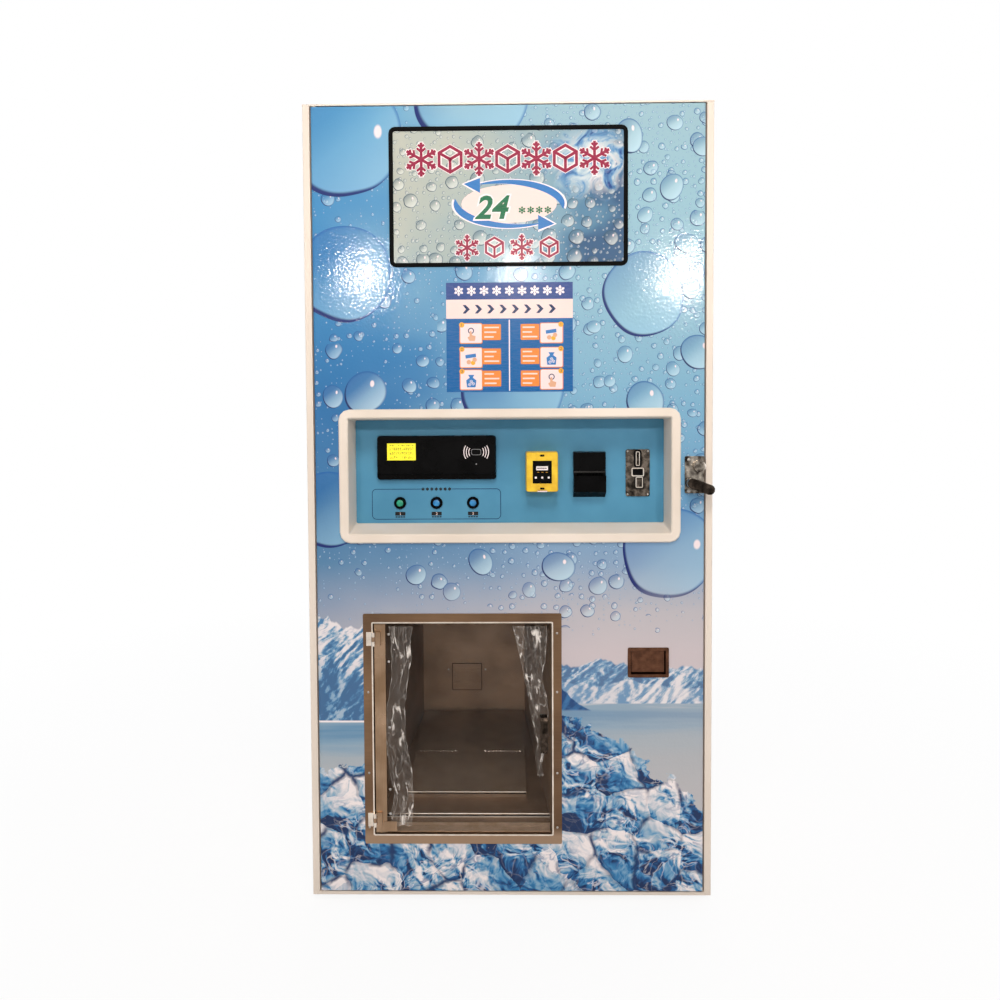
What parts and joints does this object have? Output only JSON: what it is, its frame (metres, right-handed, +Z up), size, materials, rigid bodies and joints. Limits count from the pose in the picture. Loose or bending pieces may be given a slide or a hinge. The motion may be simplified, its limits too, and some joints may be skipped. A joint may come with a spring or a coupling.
{
  "type": "ice vending machine",
  "caption": "Tall cabinet-style vending machine for bulk ice, with a lit sign, a recessed payment panel and a clear-doored dispensing bay.",
  "frame": {"origin": "On the floor under the middle of the machine's overall width and depth.", "axes": "+Z is up, +X is to the right of someone facing the machine and -Y is the front with the sign and the bay."},
  "size_m": [1.05, 1.214, 2.078],
  "materials": {
    "white_enamel": "satin white powder coat",
    "printed_film": "gloss printed film on the door",
    "cream_abs": "fine-grained cream moulding",
    "blue_film": "satin printed film",
    "black_abs": "satin black moulding",
    "black_rubber": "matt black rubber",
    "opal_acrylic": "translucent backlit acrylic",
    "clear_acrylic": "clear sheet",
    "clear_film": "thin wrinkled clear film",
    "yellow_display": "backlit yellow display",
    "green_button": "gloss green cap",
    "blue_button": "gloss blue cap",
    "yellow_abs": "fine-grained yellow moulding",
    "brushed_stainless": "brushed stainless",
    "zinc_plate": "bright zinc plate",
    "copper": "plain copper",
    "grey_abs": "grey moulding"
  },
  "bodies": {
    "cabinet": {"base_frame": "white_enamel", "side_panel_left": "white_enamel", "side_panel_right": "white_enamel", "rear_panel": "white_enamel", "rear_vent_cover": "white_enamel", "top_panel": "white_enamel", "foot_front_left": "black_rubber", "foot_front_right": "black_rubber", "foot_rear_left": "black_rubber", "foot_rear_right": "black_rubber", "lock_keeper": "zinc_plate", "bin_shelf": "zinc_plate", "ice_bin": "brushed_stainless", "auger_motor": "grey_abs", "ice_chute": "brushed_stainless", "ice_maker": "brushed_stainless", "evaporator_grid": "copper", "compressor": "black_abs", "condenser": "zinc_plate", "fan_shroud": "grey_abs", "control_box": "grey_abs", "power_inlet": "black_abs"},
    "front_door": {"front_door": "printed_film", "sign_gasket": "black_rubber", "sign_panel": "opal_acrylic", "sign_light_box": "white_enamel", "control_bezel": "cream_abs", "control_panel": "blue_film", "display_housing": "black_abs", "display_window": "yellow_display", "button_ring_1": "black_abs", "button_ring_2": "black_abs", "button_ring_3": "black_abs", "card_terminal": "yellow_abs", "card_terminal_screen": "black_abs", "bill_acceptor": "black_abs", "coin_acceptor": "zinc_plate", "coin_return_cup": "brushed_stainless", "lock_plate": "zinc_plate", "bay_frame": "brushed_stainless", "bay_liner": "brushed_stainless", "drip_tray": "brushed_stainless", "bay_hinge_upper": "zinc_plate", "bay_hinge_lower": "zinc_plate"},
    "bay_door": {"bay_door_stile": "brushed_stainless", "bay_door_pane": "clear_acrylic", "bay_door_pull": "brushed_stainless", "film_left": "clear_film", "film_right": "clear_film"},
    "button_1": {"button_cap_1": "green_button"},
    "button_2": {"button_cap_2": "blue_button"},
    "button_3": {"button_cap_3": "blue_button"},
    "coin_reject_button": {"coin_reject_button": "black_abs"},
    "coin_return_flap": {"coin_return_flap": "brushed_stainless"},
    "lock_handle": {"lock_handle": "black_abs"},
    "bin_auger": {"bin_auger": "brushed_stainless"},
    "condenser_fan": {"condenser_fan": "black_abs"},
    "chute_gate": {"chute_gate": "brushed_stainless"},
    "water_curtain": {"water_curtain": "opal_acrylic"}
  },
  "joints": [
    {"name": "front_door_hinge", "type": "hinge", "parent": "cabinet", "child": "front_door", "pos_m": [-0.495, -0.556, 1.048], "axis": [0, 0, -1], "range_deg": [0, 100]},
    {"name": "bay_door_hinge", "type": "hinge", "parent": "front_door", "child": "bay_door", "pos_m": [-0.357, -0.5713, 0.4615], "axis": [0, 0, -1], "range_deg": [0, 100]},
    {"name": "button_1_press", "type": "slide", "parent": "front_door", "child": "button_1", "axis": [0, 1, 0], "range_m": [0, 0.0025], "stiffness_N_per_m": 300, "springref_m": -0.002},
    {"name": "button_2_press", "type": "slide", "parent": "front_door", "child": "button_2", "axis": [0, 1, 0], "range_m": [0, 0.0025], "stiffness_N_per_m": 300, "springref_m": -0.002},
    {"name": "button_3_press", "type": "slide", "parent": "front_door", "child": "button_3", "axis": [0, 1, 0], "range_m": [0, 0.0025], "stiffness_N_per_m": 300, "springref_m": -0.002},
    {"name": "coin_reject_press", "type": "slide", "parent": "front_door", "child": "coin_reject_button", "axis": [0, 1, 0], "range_m": [0, 0.003], "stiffness_N_per_m": 300, "springref_m": -0.002},
    {"name": "coin_flap_hinge", "type": "hinge", "parent": "front_door", "child": "coin_return_flap", "pos_m": [0.3595, -0.557, 0.66645], "axis": [1, 0, 0], "range_deg": [0, 65]},
    {"name": "lock_handle_turn", "type": "hinge", "parent": "front_door", "child": "lock_handle", "pos_m": [0.4855, -0.565, 1.099], "axis": [0, -1, 0], "range_deg": [0, 90]},
    {"name": "auger_turn", "type": "hinge", "parent": "cabinet", "child": "bin_auger", "pos_m": [-0.125, 0.495, 1.048], "axis": [0, 1, 0], "continuous": true},
    {"name": "fan_turn", "type": "hinge", "parent": "cabinet", "child": "condenser_fan", "pos_m": [-0.22, 0.462, 0.2363], "axis": [0, 1, 0], "continuous": true},
    {"name": "chute_gate_hinge", "type": "hinge", "parent": "cabinet", "child": "chute_gate", "pos_m": [-0.125, -0.055, 0.8807], "axis": [1, 0, 0], "range_deg": [0, 80], "stiffness_Nm_per_rad": 0.5, "springref_deg": -45.84},
    {"name": "water_curtain_hinge", "type": "hinge", "parent": "cabinet", "child": "water_curtain", "pos_m": [-0.125, 0.0967, 1.8253], "axis": [-1, 0, 0], "range_deg": [0, 35]}
  ]
}
